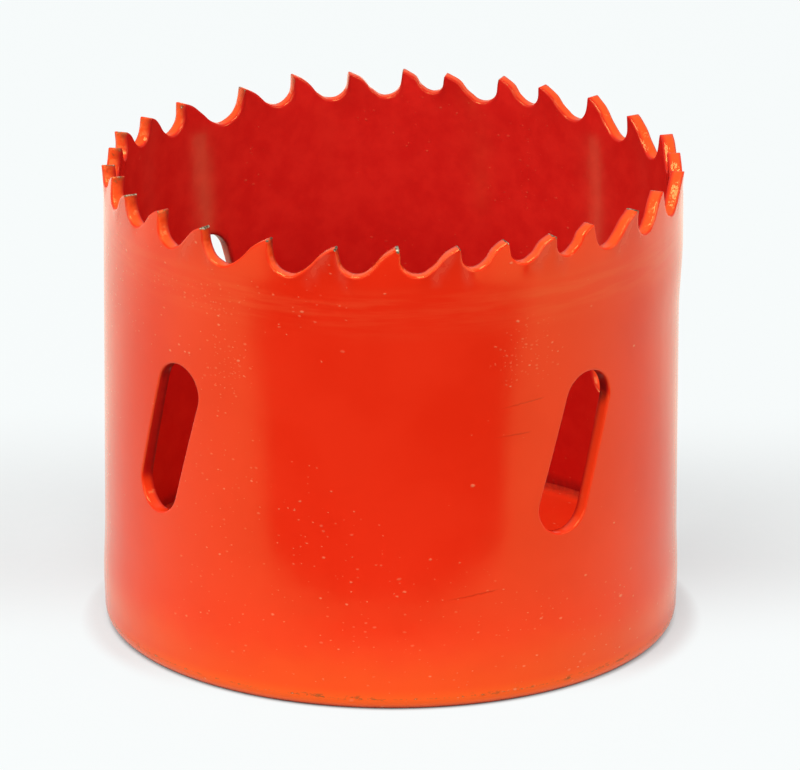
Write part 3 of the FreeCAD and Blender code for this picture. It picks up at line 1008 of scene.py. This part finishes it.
def soft_box(name, place, width, height, power):
    """A rectangular lamp aimed at the saw's lower half."""
    light = bpy.data.lights.new(name, "AREA")
    light.shape = "RECTANGLE"
    light.size, light.size_y, light.energy = width, height, power
    lamp = bpy.data.objects.new(name, light)
    lamp.location = turned(*place)
    toward = Vector((0, 0, 0.02)) - lamp.location
    lamp.rotation_euler = toward.to_track_quat("-Z", "Y").to_euler()
    bpy.context.scene.collection.objects.link(lamp)


def shade_reflection_card():
    """A dark card on the floor before the saw, unseen by the camera: a painted dark reflection
    that gives the gloss a deep centre.
    Straight lines fan out from its near edge, each a little further round than the last, with u
    from edge to edge and v along each line as the square root of its length.  The card fades out
    along its edges, which waver as smooth steps in v."""
    left, right = np.array([-0.0465, -0.046]), np.array([0.039, -0.0505])
    u, v = np.meshgrid(np.linspace(-0.12, 1.24, 69), np.linspace(0, 1, 41))
    turn = np.radians(-57.9 + 105.6 * u)
    reach = 0.4 * v**2 - 0.006
    x = left[0] + (right - left)[0] * u + reach * np.sin(turn)
    y = left[1] + (right - left)[1] * u - reach * np.cos(turn)
    spread = 0.05 + 0.16 * smooth_step(v, 0.3, 0.5)
    waist = smooth_step(v, 0.33, 0.38) * (1 - smooth_step(v, 0.40, 0.45))
    cut = 0.22 * smooth_step(v, 0.42, 0.52) - 0.05 * waist
    nick = 0.09 * smooth_step(v, 0.42, 0.50) + 0.05 * (1 - smooth_step(v, 0.33, 0.42))
    nick = nick - 0.04 * waist + 0.03 * (1 - smooth_step(v, 0.18, 0.3))
    opacity = smooth_step(u - nick, -0.08, 0.08) * (1 - smooth_step(u + cut, 0.95, 1 + spread))
    opacity = opacity * smooth_step(reach, -0.004, 0.008) * (1 - smooth_step(v, 0.85, 1.0))
    points = np.stack(turned(x, y, np.full_like(x, 0.0001)), -1).reshape(-1, 3)
    index = np.arange(u.size).reshape(u.shape)
    quads = [index[:-1, :-1], index[1:, :-1], index[1:, 1:], index[:-1, 1:]]
    quads = np.stack(quads, -1).reshape(-1, 4)
    mesh = bpy.data.meshes.new("shade_reflection_card")
    mesh.from_pydata(points.tolist(), [], quads.tolist())
    card = bpy.data.objects.new("shade_reflection_card", mesh)
    bpy.context.scene.collection.objects.link(card)
    paint(card, "opacity", opacity.ravel())
    mesh.materials.append(dark_reflection_card())
    card.visible_camera = False
    return card


bpy.ops.mesh.primitive_plane_add(size=6.0, location=(0, 0, -0.00002))
floor = bpy.context.object
floor.name = "studio_floor"
floor.data.materials.append(studio_white_paper())
shade_reflection_card()

world = bpy.data.worlds.new("soft_studio")
bpy.context.scene.world = world
world.use_nodes = True
background = world.node_tree.nodes["Background"].inputs
background["Color"].default_value = srgb("#f9fdfd")
background["Strength"].default_value = 0.38

# Each lamp's name, place, width, height and watts.
soft_box("key_soft_box", (-0.12, -0.34, 0.84), 0.4, 0.4, 5.3)
soft_box("left_soft_box", (-0.62, -0.50, 0.50), 0.45, 0.45, 1.65)
soft_box("right_soft_box", (0.80, -0.30, 0.55), 0.45, 0.45, 2.1)
soft_box("front_soft_box", (-0.1, -0.95, 0.50), 0.6, 0.5, 1.9)

camera_data = bpy.data.cameras.new("camera")
camera_data.sensor_width = 36.0
camera_data.lens = 540.0
camera_data.clip_start, camera_data.clip_end = 0.05, 50.0
camera = bpy.data.objects.new("camera", camera_data)
bpy.context.scene.collection.objects.link(camera)
bpy.context.scene.camera = camera
eye = Vector(turned(0.00188, -1.0069, 0.37635))
aim = Vector(turned(0.00078, 0.0, 0.02130))
look = (aim - eye).to_track_quat("-Z", "Y").to_matrix()
roll = Matrix.Rotation(math.radians(0.19), 3, "Z")
camera.matrix_world = Matrix.Translation(eye) @ (look @ roll).to_4x4()

bpy.context.scene.view_settings.view_transform = "Standard"
